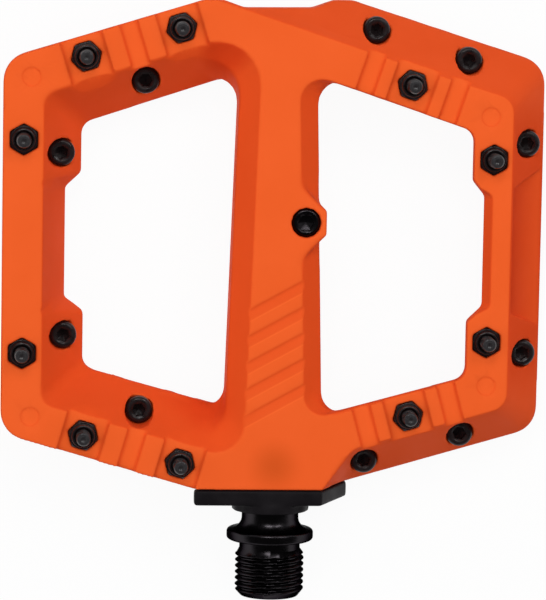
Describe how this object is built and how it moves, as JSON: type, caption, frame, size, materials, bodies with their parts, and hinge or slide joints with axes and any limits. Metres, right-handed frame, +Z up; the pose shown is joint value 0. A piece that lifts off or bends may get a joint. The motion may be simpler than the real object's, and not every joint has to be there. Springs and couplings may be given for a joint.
{
  "type": "flat pedal",
  "caption": "Flat bicycle pedal: moulded platform with open windows and through-screwed traction pins, turning on a spindle with a crank thread.",
  "frame": {"origin": "centre of the crank seat, on the spindle axis, at the flange's inboard face", "axes": "+Y outboard along the spindle, -X the direction of travel, +Z up through the upper tread"},
  "size_m": [0.1122, 0.1235, 0.0244],
  "materials": {
    "orange_nylon": "satin moulded nylon",
    "black_plated_steel": "glossy black plating",
    "black_oxide_steel": "black oxide",
    "black_nylon": "satin moulded nylon",
    "seal_rubber": "matte",
    "bushing_polymer": "self-lubricating polymer",
    "bearing_steel": "ground",
    "insert_brass": "plain"
  },
  "bodies": {
    "spindle_body": {"spindle": "black_plated_steel", "bearing_inner_race": "bearing_steel"},
    "platform_body": {"platform": "orange_nylon", "seal_plate": "black_nylon", "axle_seal": "seal_rubber", "inboard_bushing": "bushing_polymer", "bearing_outer_race": "bearing_steel", "bearing_seal_inboard": "seal_rubber", "bearing_seal_outboard": "seal_rubber", "retention_screw": "black_oxide_steel", "retention_insert": "insert_brass", "pin_front_outer_1_upper": "black_oxide_steel", "pin_front_outer_2_upper": "black_oxide_steel", "pin_front_outer_3_upper": "black_oxide_steel", "pin_front_outer_4_upper": "black_oxide_steel", "pin_front_outer_5_upper": "black_oxide_steel", "pin_front_outer_6_upper": "black_oxide_steel", "pin_rear_inner_1_upper": "black_oxide_steel", "pin_rear_inner_2_upper": "black_oxide_steel", "pin_rear_inner_3_upper": "black_oxide_steel", "pin_rear_inner_4_upper": "black_oxide_steel", "pin_rear_outer_1_lower": "black_oxide_steel", "pin_rear_outer_2_lower": "black_oxide_steel", "pin_rear_outer_3_lower": "black_oxide_steel", "pin_rear_outer_4_lower": "black_oxide_steel", "pin_rear_outer_5_lower": "black_oxide_steel", "pin_rear_outer_6_lower": "black_oxide_steel", "pin_front_inner_1_lower": "black_oxide_steel", "pin_front_inner_2_lower": "black_oxide_steel", "pin_front_inner_3_lower": "black_oxide_steel", "pin_front_inner_4_lower": "black_oxide_steel", "nut_front_outer_1_upper": "black_oxide_steel", "nut_front_outer_2_upper": "black_oxide_steel", "nut_front_outer_3_upper": "black_oxide_steel", "nut_front_outer_4_upper": "black_oxide_steel", "nut_front_outer_5_upper": "black_oxide_steel", "nut_front_outer_6_upper": "black_oxide_steel", "nut_rear_inner_1_upper": "black_oxide_steel", "nut_rear_inner_2_upper": "black_oxide_steel", "nut_rear_inner_3_upper": "black_oxide_steel", "nut_rear_inner_4_upper": "black_oxide_steel", "nut_rear_outer_1_lower": "black_oxide_steel", "nut_rear_outer_2_lower": "black_oxide_steel", "nut_rear_outer_3_lower": "black_oxide_steel", "nut_rear_outer_4_lower": "black_oxide_steel", "nut_rear_outer_5_lower": "black_oxide_steel", "nut_rear_outer_6_lower": "black_oxide_steel", "nut_front_inner_1_lower": "black_oxide_steel", "nut_front_inner_2_lower": "black_oxide_steel", "nut_front_inner_3_lower": "black_oxide_steel", "nut_front_inner_4_lower": "black_oxide_steel"},
    "ball_cage_body": {"bearing_ball_cage": "bearing_steel"}
  },
  "joints": [
    {"name": "platform_spin", "type": "hinge", "parent": "spindle_body", "child": "platform_body", "pos_m": [0, 0.06115, 0], "axis": [0, 1, 0], "continuous": true},
    {"name": "ball_cage_spin", "type": "hinge", "parent": "spindle_body", "child": "ball_cage_body", "pos_m": [0, 0.09515, 0], "axis": [0, 1, 0], "continuous": true}
  ],
  "couplings": [
    {"joint": "ball_cage_spin", "follows": "platform_spin", "ratio": 0.597}
  ]
}
